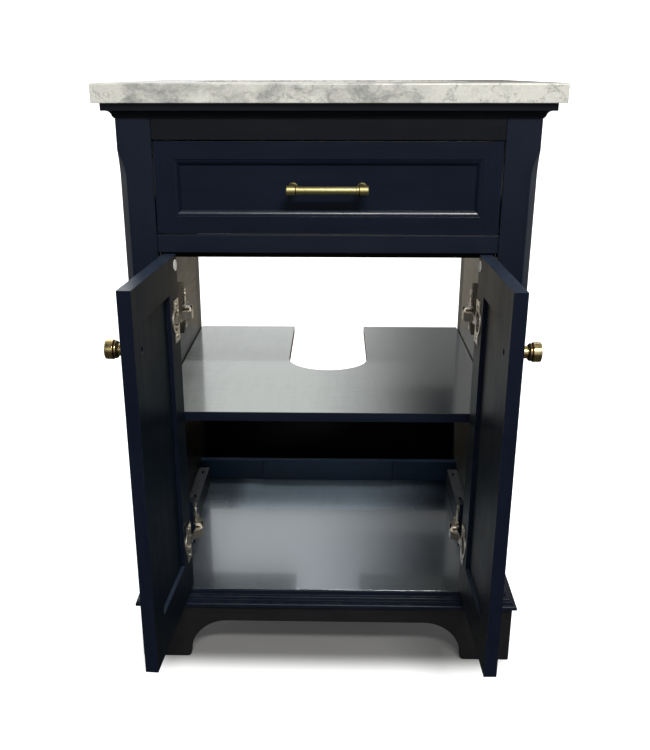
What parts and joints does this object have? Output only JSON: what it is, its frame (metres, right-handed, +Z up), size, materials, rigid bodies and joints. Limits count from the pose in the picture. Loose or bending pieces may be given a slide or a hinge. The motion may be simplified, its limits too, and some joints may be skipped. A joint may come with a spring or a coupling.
{
  "type": "bathroom vanity cabinet",
  "caption": "Bathroom vanity cabinet with a stone top and basin, a tilt-out front, hinged doors, a notched shelf and a bracket base.",
  "frame": {"origin": "middle of the line where the cabinet's back meets the wall and the floor", "axes": "+X to the right-hand side seen from the front, +Y back to the wall, +Z up; the front faces -Y"},
  "size_m": [0.63, 0.7739, 0.898],
  "materials": {
    "navy_lacquer": "satin",
    "inside_lacquer": "satin",
    "dark_board": "matte",
    "raw_wood": "matte",
    "marble": "polished",
    "vitreous_china": "gloss",
    "brass": "satin",
    "steel": "satin",
    "tray_plastic": "matte",
    "felt": "matte"
  },
  "bodies": {
    "cabinet": {"marble_top": "marble", "basin": "vitreous_china", "basin_clips": "steel", "crown_front": "navy_lacquer", "crown_sides": "navy_lacquer", "front_post_left": "navy_lacquer", "front_post_right": "navy_lacquer", "rear_post_left": "navy_lacquer", "rear_post_right": "navy_lacquer", "side_panel_left": "inside_lacquer", "side_panel_right": "inside_lacquer", "side_rails_left": "navy_lacquer", "side_rails_right": "navy_lacquer", "top_rail": "navy_lacquer", "middle_rail": "navy_lacquer", "bottom_rail": "navy_lacquer", "door_stop": "dark_board", "back_top_rail": "inside_lacquer", "low_back_rail": "navy_lacquer", "stop_plate": "navy_lacquer", "lower_back_panel": "dark_board", "floor_panel": "inside_lacquer", "shelf": "inside_lacquer", "shelf_pins": "steel", "base_front": "navy_lacquer", "base_left": "navy_lacquer", "base_right": "navy_lacquer", "base_moulding_front": "navy_lacquer", "base_moulding_left": "navy_lacquer", "base_moulding_right": "navy_lacquer", "corner_blocks": "raw_wood", "runner_brackets": "steel", "runner_slides": "steel", "hinge_blocks": "inside_lacquer", "hinge_arms": "steel", "hinge_arm_screws": "steel", "tilt_brackets": "steel"},
    "tilt_front": {"drawer_stiles": "navy_lacquer", "drawer_rails": "navy_lacquer", "drawer_panel": "navy_lacquer", "pull_bar": "brass", "pull_posts": "brass", "pull_screws": "steel", "tilt_tray": "tray_plastic", "tilt_leaves": "steel"},
    "left_door": {"left_door_stiles": "navy_lacquer", "left_door_rails": "navy_lacquer", "left_door_panel": "navy_lacquer", "left_hinge_cups": "steel", "left_knob": "brass", "left_knob_screw": "steel", "left_felt_pad": "felt"},
    "right_door": {"right_door_stiles": "navy_lacquer", "right_door_rails": "navy_lacquer", "right_door_panel": "navy_lacquer", "right_hinge_cups": "steel", "right_knob": "brass", "right_knob_screw": "steel", "right_felt_pad": "felt"}
  },
  "joints": [
    {"name": "left_door_hinge", "type": "hinge", "parent": "cabinet", "child": "left_door", "pos_m": [-0.2358, -0.5388, 0.3995], "axis": [0, 0, -1], "range_deg": [-93.6, 13.4]},
    {"name": "right_door_hinge", "type": "hinge", "parent": "cabinet", "child": "right_door", "pos_m": [0.2358, -0.5388, 0.3995], "axis": [0, 0, 1], "range_deg": [-91.3, 15.7]},
    {"name": "tilt_front_hinge", "type": "hinge", "parent": "cabinet", "child": "tilt_front", "pos_m": [0, -0.5361, 0.6983], "axis": [1, 0, 0], "range_deg": [0, 32]}
  ]
}
